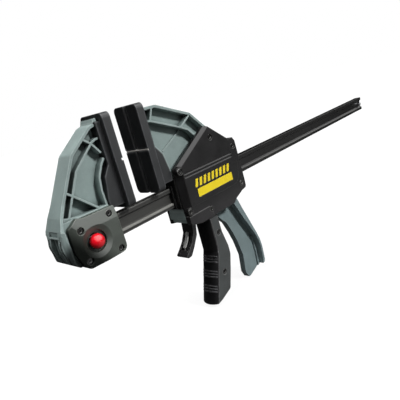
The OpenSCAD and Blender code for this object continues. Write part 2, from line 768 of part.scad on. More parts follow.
grip_knee = -body_drop - 52;           // where the grip's front bends forward
grip_foot = -grip_reach;
grip_front = [
    [grip_x, grip_top], [grip_x + 0.7, grip_top - 32], [grip_x, grip_knee + 9],
    [grip_x - 2, grip_knee], [grip_x - 16.8, grip_foot + 13], [grip_x - 21.8, grip_foot]
];
grip_back = [
    [grip_x - 13.3, grip_foot + 1.5, 2], [grip_x + 4.2, grip_foot + 7.5, 4],
    [grip_x + 12.2, grip_foot + 28, 12], [grip_x + 19.2, grip_knee - 6, 12],
    [grip_x + 19, grip_knee + 5, 6], [grip_x + 14.3, grip_knee + 26, 8],
    [grip_x + 13.3, grip_top, 0]
];
spine = [
    [grip_x - 11.3, grip_foot + 14, 1], [grip_x - 3.3, grip_foot + 14, 1],
    [grip_x + 8.5, grip_knee - 8, 6], [grip_x + 10.7, grip_knee + 12, 6],
    [grip_x + 10.7, floor_top - 1, 0], [grip_x + 5.2, floor_top - 1, 0],
    [grip_x + 5.2, grip_knee + 14, 6], [grip_x + 1.7, grip_knee - 6, 6]
];

// The chassis's nose, which shows under the bar
module nose() {
    side = base_w / 2;
    intersection() {
        across(base_w)
            polygon(rounded([[body_front + 1, floor_top, 3], [bulkhead_front[1], floor_top, 0],
                             [bulkhead_front[1], nose_top, 0], [body_front + 3.5, nose_top, 0]]));
        along(body_front, bulkhead_front[1])
            polygon(rounded([[-side, floor_top, 4], [side, floor_top, 4], [side, nose_top, 0],
                             [-side, nose_top, 0]]));
    }
}

module moving_jaw_frame() {
    cheek_in = trigger_w / 2 + slide_gap;
    color(jaw_grey)
    difference() {
        union() {
            across(jaw_w) {
                band(moving_top_path, jaw_band_t);
                band(moving_inner_rib, jaw_rib_t);
                band(moving_front_rib, jaw_rib_t);
                band(moving_rear_rib, jaw_rib_t);
                band(moving_front_path, jaw_rib_t);
            }
            across(jaw_web_t + 2.6) band(moving_low_rib, jaw_rib_t);
            across(jaw_web_t) polygon(moving_web);
            across(base_w) {
                // rail above the bar, and the three bulkheads that hang from it
                frame_face([bulkhead_front[0], rail_low], [bulkhead_rear[1], rail_top]);
                for (b = [bulkhead_front, bulkhead_mid])
                    frame_face([b[0], floor_low], [b[1], rail_top]);
                frame_face([bulkhead_rear[0], bulkhead_rear_low], [bulkhead_rear[1], rail_top]);
                // bottom rail
                frame_face([bulkhead_front[0], floor_low], [grip_x + 12.7, floor_top]);
            }
            nose();
            // cheeks for the trigger's pin
            for (side = [-1, 1]) {
                y = side * (cheek_in + base_w / 2) / 2;
                t = base_w / 2 - cheek_in;
                rod(trigger_pivot, trigger_boss_r + 0.6, y - t / 2, y + t / 2);
                block([trigger_pivot[0] - trigger_boss_r, y - t / 2, floor_low],
                      [trigger_pivot[0] + trigger_boss_r, y + t / 2, trigger_pivot[1]]);
            }
            across(spine_t) polygon(rounded(spine));
        }
        bar_way(body_front - cut_past, guide_front_back + 20, slide_gap);
        bar_way(guide_front_back, body_back + cut_past, slide_gap);
        // seat of the rear guide
        along(bulkhead_rear[0] + 2, bulkhead_rear[1] + cut_past)
            square([bar_t + 2 * guide_collar_t + 2 * seat_gap, bar_h + 2 * guide_collar_t + 2 * seat_gap],
                   center = true);
        // way for the trigger through the bottom rail
        block([bulkhead_front[1], -cheek_in, floor_low - cut_past],
              [bulkhead_mid[0], cheek_in, floor_top + cut_past]);
        // slot that the brake plate hangs in
        block([brake_hang[0] - brake_plate_t / 2 - 1, -base_w, rail_low - cut_past],
              [brake_hang[0] + brake_plate_t / 2 + 1, base_w, brake_hang[1] + 1.2]);
        rod(trigger_pivot, trigger_pin_r + press_gap, -base_w, base_w);
        for (at = body_screws_at) rod(at, screw_way_r, -base_w, base_w);
        for (at = grip_screws_at) rod(at, screw_way_r, -base_w, base_w);
    }
}

// Black plate on the chassis's front, with a collar around the bar
module front_guide() {
    color(shell_black)
    difference() {
        union() {
            across(base_w)
                frame_face([body_front, nose_top + seat_gap],
                           [guide_front_back, rail_top - jaw_rib_t - 3.5]);
            along(body_front - 2, body_front + overlap)
                square([bar_t + 2 * guide_collar_t, bar_h + 2 * guide_collar_t], center = true);
        }
        bar_way(body_front - 3, guide_front_back + cut_past, slide_gap);
    }
}

module rear_guide() {
    color(shell_black)
    difference() {
        along(bulkhead_rear[0] + 2 + seat_gap, body_back + 0.6)
            square([bar_t + 2 * guide_collar_t, bar_h + 2 * guide_collar_t], center = true);
        bar_way(bulkhead_rear[0], body_back + 2, slide_gap);
    }
}

// ---------------------------------------------------------------------------------------------
// Housing covers
// ---------------------------------------------------------------------------------------------

body_outline = [
    [body_front + 1.5, -body_drop + 3.5, 2], [body_front + 17.5, -body_drop, 4],
    [body_back - 27, -body_drop, 3], [body_back - 22.5, -body_drop + 4, 0],
    [body_back - 8.5, -body_drop + 10, 4], [body_back, -body_drop + 11.5, 3],
    [body_back - 2.5, bar_top + 24, 3], [body_back - 6, bar_top + 29, 2],
    [body_back - 14.5, bar_top + 29, 1], [hump_back[0], hump_back[1] + 0.5, 0],
    [apex[0], apex[1], 4], [front_top[0], front_top[1], 1.5]
];

// The raised panel on each side, and the flat tab under it; the face steps in around both
lever_pin_sink = 2.6;                  // wall over the ends of the lever's pivot pin
lever_pin_y = body_w / 2 - lever_pin_sink - seat_gap;
side_step = 0.5;
side_lean = 1.3;                       // how far the face leans in, from the panel to the bottom
side_panel = [
    [body_front - 2, -bar_top - 4, 0], [body_back - 12, -bar_top - 4, 12], [body_back - 6, bar_top + 2, 6],
    [body_back - 5, pad_top, 0], [body_front - 2, pad_top, 0]
];
side_tab = [
    [body_front - 2, -body_drop - 2, 0], [body_front + 38.8, -body_drop - 2, 0],
    [body_front + 38, -body_drop + 7, 0], [body_front + 35, -body_drop + 13, 0],
    [body_front - 2, -body_drop + 13, 0]
];
front_bevel = [8.5, 7];                // size of the covers' front bevel, along the bar and across
diagonal_bevel = 3.4;
ridge_groove = 1.5;                    // side of the square that cuts each fine groove

// What the front bevel takes off one cover between two heights
module front_bevel_cut(z_from, z_to) {
    out_y = body_w / 2;
    translate([0, 0, z_from]) linear_extrude(z_to - z_from)
        polygon([[body_front + front_bevel[0] + 0.6, -out_y - 0.5], [body_front - 5, -out_y - 0.5],
                 [body_front - 5, -out_y + front_bevel[1] + 0.5],
                 [body_front + 0.5, -out_y + front_bevel[1]]]);
}

// One cover of the housing, on the left side (-Y)
module body_cover() {
    out_y = body_w / 2;
    in_y = out_y - body_wall;
    pin_boss_y = lever_arm_in + lever_arm_t + slide_gap;
    difference() {
        union() {
            slab(-out_y, -in_y) polygon(rounded(body_outline));
            difference() {
                slab(-in_y - overlap, -seat_gap / 2) polygon(rounded(body_outline));
                slab(-out_y, out_y) polygon(rounded(inset(body_outline, body_wall)));
                // the jaw, the nose, the trigger, the grip and the lever come out between the covers
                block([body_front - 2, -beside_base, -body_drop - cut_past],
                      [jaw_end[0] + jaw_band_t / 2 + seat_gap, 0, pad_top]);
                block([body_front - 2, -beside_base, -body_drop - cut_past],
                      [body_back - 13, 0, -bar_top - 8]);
            }
            // solid front, behind the bevel
            intersection() {
                slab(-in_y - overlap, -beside_base) polygon(rounded(body_outline));
                block([body_front, -out_y, -body_drop], [body_front + front_bevel[0], 0, pad_top]);
            }
            // posts around the screws
            for (i = [0:len(body_screws_at) - 1])
                rod(body_screws_at[i], screw_boss_r, -in_y - overlap, -body_post_ends[i]);
            // boss around the lever's pivot pin
            rod(lever_pivot, lever_pin_r + 3, -in_y - overlap, -pin_boss_y);
        }
        // way for the bar and its rear guide
        along(body_back - 10, body_back + cut_past)
            square([bar_t + 2 * guide_collar_t + 2 * seat_gap, bar_h + 2 * guide_collar_t + 2 * seat_gap],
                   center = true);
        rod(lever_pivot, lever_pin_r + press_gap, -out_y + lever_pin_sink, 0);
        // step around the side panel and the tab, and the lean of the face below the panel
        difference() {
            union() {
                slab(-out_y - cut_past, -out_y + side_step) polygon(rounded(inset(body_outline, -cut_past)));
                along(body_front - cut_past, body_back + cut_past)
                    polygon([[-out_y - cut_past, -bar_top - 4], [-out_y + side_step, -bar_top - 4],
                             [-out_y + side_step + side_lean, -body_drop - cut_past],
                             [-out_y - cut_past, -body_drop - cut_past]]);
            }
            slab(-out_y - 2, -out_y + 3) polygon(rounded(side_panel));
            slab(-out_y - 2, -out_y + 3) polygon(rounded(side_tab));
        }
        // two fine grooves along the side, and the bevel along the jaw
        for (z = [bar_top + 6.8, bar_top + 10.5])
            translate([body_front + 9.5, -out_y, z]) rotate([45, 0, 0])
                cube([body_len - 24, ridge_groove, ridge_groove]);
        translate([front_top[0], -out_y, front_top[1]])
            rotate([0, -atan2(apex[1] - front_top[1], apex[0] - front_top[0]), 0])
            rotate([45, 0, 0]) translate([-5, -diagonal_bevel / sqrt(2), -diagonal_bevel / sqrt(2)])
            cube([90, diagonal_bevel * sqrt(2), diagonal_bevel * sqrt(2)]);
    }
}

module label_pocket(y_from, y_to) {
    for (r = label_rows) slab(y_from, y_to) polygon(r);
}

module body_cover_left() {
    out_y = body_w / 2;
    color(shell_black)
    difference() {
        body_cover();
        for (at = body_screws_at) screw_seat(at, out_y);
        label_pocket(-out_y - cut_past, -out_y + label_sink);
        // the front bevel stops at the tab, and leaves a boss around each front screw
        difference() {
            front_bevel_cut(-body_drop + 13, pad_top);
            for (i = [0, 3]) rod(body_screws_at[i], screw_head_r + 1, -out_y - cut_past, 0);
        }
    }
}

module body_cover_right() {
    out_y = body_w / 2;
    color(shell_black)
    difference() {
        mirror([0, 1, 0]) body_cover();
        for (at = body_screws_at) rod(at, screw_pilot_r, 0, body_screw_end(at) + seat_gap);
        label_pocket(out_y - label_sink, out_y + cut_past);
        mirror([0, 1, 0]) front_bevel_cut(-body_drop - cut_past, pad_top);
    }
}

module body_screws() {
    color(steel_black)
    for (at = body_screws_at) screw(at, body_w / 2, body_screw_end(at));
}

// A plain yellow stripe with a row of slanted bars above it
label_sink = 0.3;
label_t = 0.45;
label_gap = 0.06;
label_x = [body_front + 21, body_front + 83];
label_stripe = [
    [label_x[0] + 2, -8.2], [label_x[1] + 1, -8.2], [label_x[1] + 1, 1.2], [label_x[0] + 2, 1.2]
];
label_bar_count = 9;
label_bar_pitch = (label_x[1] - label_x[0] - 7) / (label_bar_count - 1);
label_rows = concat(
    [label_stripe],
    [for (i = [0:label_bar_count - 1]) let (x = label_x[0] + i * label_bar_pitch)
        [[x, 3.6], [x + 4, 3.6], [x + 7, 12.4], [x + 3, 12.4]]]
);

module label(y_from, y_to) {
    color(label_yellow)
    for (r = label_rows) slab(y_from, y_to) polygon(rounded(inset(r, label_gap)));
}

module label_left() {
    face = body_w / 2 - label_sink;
    label(-face - label_t, -face);
}

module label_right() {
    face = body_w / 2 - label_sink;
    label(face, face + label_t);
}

// ---------------------------------------------------------------------------------------------
// Grip
// ---------------------------------------------------------------------------------------------

strip_back = [for (p = grip_front) [p[0] + grip_strip_t, p[1]]];
strip_ribs = [for (group = [0:2], rib = [0:2]) group * 0.312 + rib * 0.058 + 0.01];
grip_lean = atan2(grip_front[3][0] - grip_front[5][0], grip_front[3][1] - grip_front[5][1]);
grip_lower_len = norm(grip_front[3] - grip_front[5]);
// Radius of the arc that spans the grip's width with that bulge
grip_bulge_r = (grip_bulge * grip_bulge + grip_w * grip_w / 4) / (2 * grip_bulge);

// A round column whose front bulges past the grip's front edges, from one height to another
module bulge_column(low, high, proud) {
    translate([grip_bulge_r - grip_bulge, 0, low])
        cylinder(r = grip_bulge_r + proud, h = high - low, $fn = 96);
}

// The same, leaning with the grip's lower front and measured down from the knee
module on_lower_front() {
    translate([grip_front[3][0], 0, grip_front[3][1]]) rotate([0, grip_lean, 0]) children();
}

module grip_strip() {
    color(rubber_black) {
        intersection() {
            across(grip_w)
                polygon(concat([for (p = grip_front) [p[0] - 2 * grip_bulge, p[1]]], backwards(strip_back)));
            union() {
                translate([grip_x, 0, 0]) bulge_column(grip_foot - cut_past, 0, 0);
                on_lower_front() bulge_column(-grip_lower_len - 20, 20, 0);
            }
        }
        for (f = strip_ribs)
            on_lower_front() intersection() {
                bulge_column(-grip_lower_len * f - 0.7, -grip_lower_len * f + 0.7, 0.6);
                block([-2 * grip_bulge, -grip_w / 2 + 1, -grip_lower_len - 5], [0.3, grip_w / 2 - 1, 5]);
            }
    }
}

module grip_half() {
    body = concat([for (p = strip_back) [p[0] + seat_gap, p[1], 0]], grip_back);
    difference() {
        slab(-grip_w / 2, -seat_gap / 2) polygon(rounded(body));
        slab(-spine_t / 2 - seat_gap, 0) polygon(rounded(inset(spine, -seat_gap)));
    }
}

module grip_left() {
    color(shell_black)
    difference() {
        grip_half();
        for (at = grip_screws_at) screw_seat(at, grip_w / 2);
    }
}

module grip_right() {
    color(shell_black)
    difference() {
        mirror([0, 1, 0]) grip_half();
        for (at = grip_screws_at) rod(at, screw_pilot_r, 0, grip_w / 2 - screw_tip + seat_gap);
    }
}

module grip_screws() {
    color(steel_black)
    for (at = grip_screws_at) screw(at, grip_w / 2, grip_w / 2 - screw_tip);
}

// ---------------------------------------------------------------------------------------------
// Squeeze lever, drive plates and drive spring
// ---------------------------------------------------------------------------------------------

// Places on the lever are given as [x, z] from its pivot
function from_pivot(points) = [for (p = points) len(p) > 2
    ? [lever_pivot[0] + p[0], lever_pivot[1] + p[1], p[2]]
    : [lever_pivot[0] + p[0], lever_pivot[1] + p[1]]];

toe = -lever_reach - lever_pivot[1];
palm_front = [[12.5, -11], [18, -21], [28.5, -44], [37.5, -61], [45, -77], [48.6, -92],
              [48.3, toe + 16], [46, toe + 9]];
palm_back = [[49.3, toe + 9.6], [51.2, toe + 13], [51.7, -94], [50.5, -84], [47, -73], [41.5, -59],
             [36.5, -46], [30, -30], [26.5, -20], [22.5, -11]];
web_front = [[-7, 0, 0], [-8, -14, 0], [-7.5, -26, 4], [-1, -35, 6], [5, -41, 8], [12, -58, 0],
             [16.5, -72, 0], [20.7, -94, 12], [18.5, -112, 0], [18, toe + 9, 4], [22, toe, 2]];
web_back = [[25.5, toe, 4], [46, toe + 7, 2], [49.3, toe + 14, 0], [50, -92, 0], [39.5, -61, 0],
            [20.5, -21, 0], [10, -8, 4], [3, -1, 0], [3, 3, 0], [-4, 3, 0]];
web_strip = [[42, -76], [43.6, -87.7], [44.2, -98.5], [44, -108.8], [43, toe + 6.5], [46.5, toe + 8],
             [49.3, toe + 16], [49.6, -92], [46, -77]];
web_strip_proud = 2;

module drive_lever() {
    arm_out = lever_arm_in + lever_arm_t;
    color(lever_grey)
    difference() {
        union() {
            across(lever_web_t) polygon(rounded(from_pivot(concat(web_front, web_back))));
            across(palm_w) polygon(from_pivot(concat(palm_front, palm_back)));
            across(lever_web_t + 2 * web_strip_proud) polygon(from_pivot(web_strip));
            rod(lever_pivot, lever_boss_r, -arm_out, arm_out);
            for (side = [-1, 1]) {
                y = side * (lever_arm_in + lever_arm_t / 2);
                slab(y - lever_arm_t / 2, y + lever_arm_t / 2) {
                    band([lever_pivot, lever_nose], lever_nose_r * 2 - 1);
                    translate(lever_nose) circle(lever_nose_r);
                }
            }
        }
        rod(lever_pivot, lever_pin_r + pin_fit, -palm_w, palm_w);
    }
}

module lever_pivot_pin() {
    color(steel_bright)
    rod(lever_pivot, lever_pin_r, -lever_pin_y, lever_pin_y);
}

// A plate across the bar, with the bar's hole through it
module gripping_plate(x, t, low, top, hole_h) {
    difference() {
        translate([0, 0, (low + top) / 2]) along(x, x + t) polygon(plate_outline(plate_w, top - low, 2));
        along(x - cut_past, x + t + cut_past) square([bar_t + 2 * slide_gap, hole_h], center = true);
    }
}

module drive_plate_front() {
    color(steel_bright)
    gripping_plate(drive_plate_x, drive_plate_t, drive_plate_low, drive_plate_top, bar_h + 2 * slide_gap);
}

module drive_plate_rear() {
    color(steel_bright)
    gripping_plate(drive_plates_back - drive_plate_t, drive_plate_t,
                   drive_plate_low, drive_plate_top, bar_h + 2 * slide_gap);
}

module drive_spring() {
    color(steel_bright)
    coil(drive_plates_back + seat_gap, bulkhead_rear[0] - seat_gap, spring_r, spring_wire, drive_turns);
}

// ---------------------------------------------------------------------------------------------
// Release trigger and brake
// ---------------------------------------------------------------------------------------------

function from_trigger(points) = [for (p = points) len(p) > 2
    ? [trigger_pivot[0] + p[0], trigger_pivot[1] + p[1], p[2]]
    : [trigger_pivot[0] + p[0], trigger_pivot[1] + p[1]]];

trigger_front = [[-12, -9.5, 2], [-13, -21, 4], [-19, -30.5, 3], [-25.5, -37, 2]];
trigger_outline = concat(
    [[-5, 0, 0]], [[-7, -5, 1]], trigger_front,
    [[-31.5, -42, 1], [-29.5, -44.5, 1], [-24, -44, 3], [-16.5, -35.5, 4], [-8.5, -24.5, 5],
     [-5.5, -12, 0], [-2, -8.5, 2], [5, -4, 0], [4.5, 0, 0]]
);

module release_trigger() {
    wall = 2;
    channel = [[-40, -20], [-9, -20], [-9.6, -23], [-15.2, -32], [-21, -37.5], [-40, -37.5]];
    color(shell_black)
    difference() {
        union() {
            across(trigger_w) polygon(rounded(from_trigger(trigger_outline)));
            rod(trigger_pivot, trigger_boss_r, -trigger_w / 2, trigger_w / 2);
            across(8) {
                band([[trigger_nose[0], trigger_pivot[1]], trigger_nose], trigger_nose_r * 2 - 0.4);
                translate(trigger_nose) circle(trigger_nose_r);
            }
        }
        rod(trigger_pivot, trigger_pin_r + pin_fit, -trigger_w, trigger_w);
        // two channels down the front, with a rib between them
        for (side = [-1, 1])
            slab(side > 0 ? 0.9 : -trigger_w / 2 + wall, side > 0 ? trigger_w / 2 - wall : -0.9)
                polygon(from_trigger(channel));
    }
}

module trigger_pivot_pin() {
    color(steel_bright) rod(trigger_pivot, trigger_pin_r, -base_w / 2, base_w / 2);
}

module brake_plate() {
    hole_h = bar_h + 2 * slide_gap + 2 * brake_plate_t * sin(brake_tilt);
    top = brake_hang[1];
    color(steel_bright)
    translate([brake_hang[0], 0, top]) rotate([0, -brake_tilt, 0]) translate([0, 0, -top])
        gripping_plate(-brake_plate_t / 2, brake_plate_t, brake_plate_low, top + 0.4, hole_h);
}

module brake_spring() {
    color(steel_bright)
    coil(bulkhead_front[1] + seat_gap, brake_hang[0] - brake_plate_t / 2 - 0.4, spring_r, spring_wire,
         brake_turns);
}

// ---------------------------------------------------------------------------------------------

bar();
bar_stop_pin();
fixed_jaw_frame();
fixed_jaw_pad();
head_cover_left();
head_cover_right();
head_screws();
change_button();
latch_pin();
button_spring();
moving_jaw_frame();
moving_jaw_pad();
front_guide();
rear_guide();
body_cover_left();
body_cover_right();
body_screws();
label_left();
label_right();
grip_left();
grip_right();
grip_strip();
grip_screws();
drive_lever();
lever_pivot_pin();
release_trigger();
trigger_pivot_pin();
drive_plate_front();
drive_plate_rear();
brake_plate();
drive_spring();
brake_spring();
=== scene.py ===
"""Looks of the quick release bar clamp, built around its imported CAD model.

All lengths are metres in the CAD model's frame: +X along the bar to its free end, +Z to the tips of
the jaws, and -Y to the side that the camera sees."""

import json
import math

import bmesh
import bpy
from mathutils import Matrix, Vector


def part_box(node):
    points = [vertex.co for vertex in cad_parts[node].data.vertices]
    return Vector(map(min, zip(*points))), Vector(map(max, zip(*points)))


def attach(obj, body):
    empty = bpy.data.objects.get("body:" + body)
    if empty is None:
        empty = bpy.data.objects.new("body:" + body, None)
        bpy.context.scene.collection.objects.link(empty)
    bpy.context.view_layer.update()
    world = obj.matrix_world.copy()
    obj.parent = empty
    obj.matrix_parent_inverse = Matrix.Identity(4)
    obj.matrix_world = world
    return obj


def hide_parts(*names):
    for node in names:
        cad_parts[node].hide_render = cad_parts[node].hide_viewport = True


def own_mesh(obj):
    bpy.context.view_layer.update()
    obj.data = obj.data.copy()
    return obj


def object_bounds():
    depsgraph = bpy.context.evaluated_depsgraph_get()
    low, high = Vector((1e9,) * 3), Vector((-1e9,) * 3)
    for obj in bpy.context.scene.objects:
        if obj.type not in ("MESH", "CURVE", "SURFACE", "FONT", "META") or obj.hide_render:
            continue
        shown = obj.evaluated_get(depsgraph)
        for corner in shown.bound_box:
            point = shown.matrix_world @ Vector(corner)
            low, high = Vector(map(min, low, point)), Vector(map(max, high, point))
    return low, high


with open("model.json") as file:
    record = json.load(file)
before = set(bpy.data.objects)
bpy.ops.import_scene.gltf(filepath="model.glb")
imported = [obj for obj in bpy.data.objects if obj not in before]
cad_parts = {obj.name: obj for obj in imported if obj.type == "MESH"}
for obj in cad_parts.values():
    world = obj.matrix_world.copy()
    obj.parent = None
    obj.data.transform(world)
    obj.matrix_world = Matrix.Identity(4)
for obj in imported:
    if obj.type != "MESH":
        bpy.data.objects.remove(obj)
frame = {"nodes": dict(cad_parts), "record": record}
cad_low, cad_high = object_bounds()
MM = 0.001

# ------------------------------------------------------------------------------------------------
# Camera, floor, world and lamps
# ------------------------------------------------------------------------------------------------

CAMERA_AT = Vector((-0.2230, -0.3487, 0.1077))
CAMERA_FORWARD = Vector((0.6558, 0.7094, -0.2582)).normalized()
CAMERA_RIGHT = Vector((0.6636, -0.7048, -0.2509))
CAMERA_LENS = 37.26                    # with the sensor's width, in millimetres
CAMERA_SENSOR = 36.0
CAMERA_NEAR = 10 * MM

FLOOR_GAP = 0.5 * MM
FLOOR_HALF = 6.0
FLOOR_MATT = 0.10                      # what the floor gives back, shadows included
FLOOR_GLOW = 0.90                      # what makes it white where it is seen

# The studio's light goes from dark to bright as a direction turns towards one side: START and END
# are its share towards that side. Gloss shows a studio that is bright above and on the near side,
# and dark elsewhere. Soft light comes from above and from the far side, so that deep pockets that
# face the camera stay dark.
GLOSS_SIDE = (0.20, -0.60, 0.775)
GLOSS_START, GLOSS_END = 0.34, 0.98
GLOSS_DARK, GLOSS_BRIGHT = 0.02, 4.0
SOFT_SIDE = (-0.20, 0.72, 0.66)
SOFT_START, SOFT_END = -0.7, 0.9
SOFT_DARK, SOFT_BRIGHT = 0.02, 0.34

# The floor that gloss shows has a bright pool, FLOOR_GLOSS strong up to POOL_IN from its middle.
POOL_AT = (0.35, -0.45, 0.0)
POOL_IN, POOL_OUT = 0.25, 0.70
FLOOR_GLOSS = 0.50

# Each lamp's name, the direction of its source, its strength and its width in degrees.
LAMPS = (
    ("key", (0.26, -0.78, 0.57), 3.35, 8),
    ("side", (-0.32, -0.05, 0.94), 2.35, 20),
    ("back", (0.05, 0.96, 0.27), 1.9, 20),
)


def add_camera():
    """The camera at the photograph's place, angle and lens."""
    data = bpy.data.cameras.new("camera")
    data.lens = CAMERA_LENS
    data.sensor_width = CAMERA_SENSOR
    data.clip_start = CAMERA_NEAR
    camera = bpy.data.objects.new("camera", data)
    bpy.context.scene.collection.objects.link(camera)
    up = CAMERA_RIGHT.cross(CAMERA_FORWARD).normalized()
    right = CAMERA_FORWARD.cross(up).normalized()
    turn = Matrix((right, up, -CAMERA_FORWARD)).transposed().to_4x4()
    camera.matrix_world = Matrix.Translation(CAMERA_AT) @ turn
    bpy.context.scene.camera = camera


RAYS = 8                               # samples of each bevel and each measure of openness


class Graph:
    """Builds one node tree. An input's value is a number, a tuple or another node's output."""

    def __init__(self, tree):
        self.tree = tree
        tree.nodes.clear()

    def add(self, kind, inputs=None, out=0, **settings):
        """A new node's output. Inputs are named, or numbered where names repeat."""
        node = self.tree.nodes.new("ShaderNode" + kind)
        for name, value in settings.items():
            setattr(node, name, value)
        for name, value in (inputs or {}).items():
            if isinstance(value, bpy.types.NodeSocket):
                self.tree.links.new(value, node.inputs[name])
            else:
                node.inputs[name].default_value = value
        return node.outputs[out]

    def math(self, operation, a, b, clamp=False):
        return self.add("Math", {0: a, 1: b}, operation=operation, use_clamp=clamp)

    def blend(self, factor, a, b):
        """Colour a where factor is 0, and b where it is 1."""
        return self.add("Mix", {0: factor, 6: a, 7: b}, out=2, data_type="RGBA")

    def scale(self, colour, factor):
        return self.add("VectorMath", {0: colour, "Scale": factor}, operation="SCALE")

    def noise(self, place, scale, **inputs):
        return self.add("TexNoise", {"Vector": place, "Scale": scale, **inputs})

    def openness(self, distance, inside=False):
        """1 in the open, and less the more is closed in by the piece's own surface."""
        return self.add(
            "AmbientOcclusion", {"Distance": distance}, out="AO",
            inside=inside, only_local=True, samples=RAYS,
        )

    def span(self, value, low, high, to_low=0.0, to_high=1.0):
        """Maps low..high to to_low..to_high, smoothly and clamped."""
        return self.add(
            "MapRange",
            {"Value": value, "From Min": low, "From Max": high, "To Min": to_low, "To Max": to_high},
            interpolation_type="SMOOTHSTEP",
        )


def end_in(graph, kind, shader):
    graph.tree.links.new(shader, graph.tree.nodes.new("ShaderNodeOutput" + kind).inputs[0])


def seen_rays(graph):
    """Three sockets: 1 for rays from the camera or through glass, for glossy rays, and for either."""
    camera = graph.add("LightPath", out="Is Camera Ray")
    path = camera.node
    direct = graph.math("ADD", camera, path.outputs["Is Transmission Ray"], clamp=True)
    glossy = path.outputs["Is Glossy Ray"]
    return direct, glossy, graph.math("ADD", direct, glossy, clamp=True)


def ramp_along(graph, place, side, low, high, dark, bright):
    """Runs from dark to bright as a direction or a place lies further to a side."""
    along = graph.add("VectorMath", {0: place, 1: side}, out="Value", operation="DOT_PRODUCT")
    return graph.span(along, low, high, dark, bright)


def add_world():
    """Soft light for the object, a studio for gloss, and plain white where the world is seen."""
    world = bpy.data.worlds.new("studio")
    bpy.context.scene.world = world
    world.use_nodes = True
    graph = Graph(world.node_tree)
    direct, glossy, seen = seen_rays(graph)
    place = graph.add("TexCoord", out="Generated")
    light = ramp_along(graph, place, SOFT_SIDE, SOFT_START, SOFT_END, SOFT_DARK, SOFT_BRIGHT)
    soft = graph.add("Background", {"Strength": light})
    gloss = ramp_along(graph, place, GLOSS_SIDE, GLOSS_START, GLOSS_END, GLOSS_DARK, GLOSS_BRIGHT)
    white = graph.add("Background", {"Strength": graph.math("MAXIMUM", gloss, direct)})
    for background in (soft, white):
        background.node.inputs["Color"].default_value = (1, 1, 1, 1)
    end_in(graph, "World", graph.add("MixShader", {0: seen, 1: soft, 2: white}))


def add_floor():
    """A plain pale floor just under the lever's toe. It keeps the object's shadow."""
    bpy.ops.mesh.primitive_plane_add(size=2 * FLOOR_HALF, location=(0, 0, cad_low[2] - FLOOR_GAP))
    floor = bpy.context.object
    floor.name = "floor"
    material = bpy.data.materials.new("floor")
    material.use_nodes = True
    graph = Graph(material.node_tree)
    direct, glossy, seen = seen_rays(graph)
    matt = graph.add("BsdfDiffuse", {"Color": (FLOOR_MATT, FLOOR_MATT, FLOOR_MATT, 1)})
    glow = graph.add("Emission", {"Strength": graph.math("MULTIPLY", direct, FLOOR_GLOW)})
    shown = graph.add("AddShader", {0: matt, 1: glow})
    place = graph.add("TexCoord", out="Object")
    away = graph.add("VectorMath", {0: place, 1: POOL_AT}, out="Value", operation="DISTANCE")
    pool = graph.span(away, POOL_IN, POOL_OUT, FLOOR_GLOSS, GLOSS_DARK)
    mirrored = graph.add("Emission", {"Strength": pool})
    end_in(graph, "Material", graph.add("MixShader", {0: glossy, 1: shown, 2: mirrored}))
    floor.data.materials.append(material)


def add_sun(name, source, strength, degrees):
    """Light from the direction of its source, as even on the floor far away as on the object."""
    data = bpy.data.lights.new(name, "SUN")
    data.energy = strength
    data.angle = math.radians(degrees)
    lamp = bpy.data.objects.new(name, data)
    lamp.rotation_euler = Vector(source).to_track_quat("Z", "Y").to_euler()
    lamp.visible_glossy = False
    bpy.context.scene.collection.objects.link(lamp)


add_camera()
add_world()
add_floor()
for lamp in LAMPS:
    add_sun(*lamp)
bpy.context.scene.view_settings.view_transform = "Standard"

# ------------------------------------------------------------------------------------------------
# Materials
# ------------------------------------------------------------------------------------------------

# A pair is where in a noise's range, or at what openness, an effect comes or goes.
DRIFT_NOISE = (0.3, 0.7)
FLECK_NOISE = (0.62, 0.72)
FLECK_SCALE = 0.4                      # flecks to a grain
FLECK_PALER = 1.8
CREASE_SHADE_OPEN = (0.25, 0.80)
EDGE_OPEN = (0.96, 0.55)
# The rubbed edges are partly wear and partly a painted edge highlight.
SCUFF_SCALE = 220.0                    # patches to a metre along the rubbed edges
SCUFF_NOISE = (0.25, 0.6)
SCUFF_LEAST = 0.5
POLISH_NOISE = (0.25, 0.75)
POLISH_LOW, POLISH_HIGH = 0.9, 1.12    # a surface's roughness drifts between these shares of it
POLISH_RUBBED = 0.1                    # how much smoother the rubbed edges are


def shade(colour, factor=1.0):
    return tuple(min(c * factor, 1.0) for c in colour) + (1.0,)


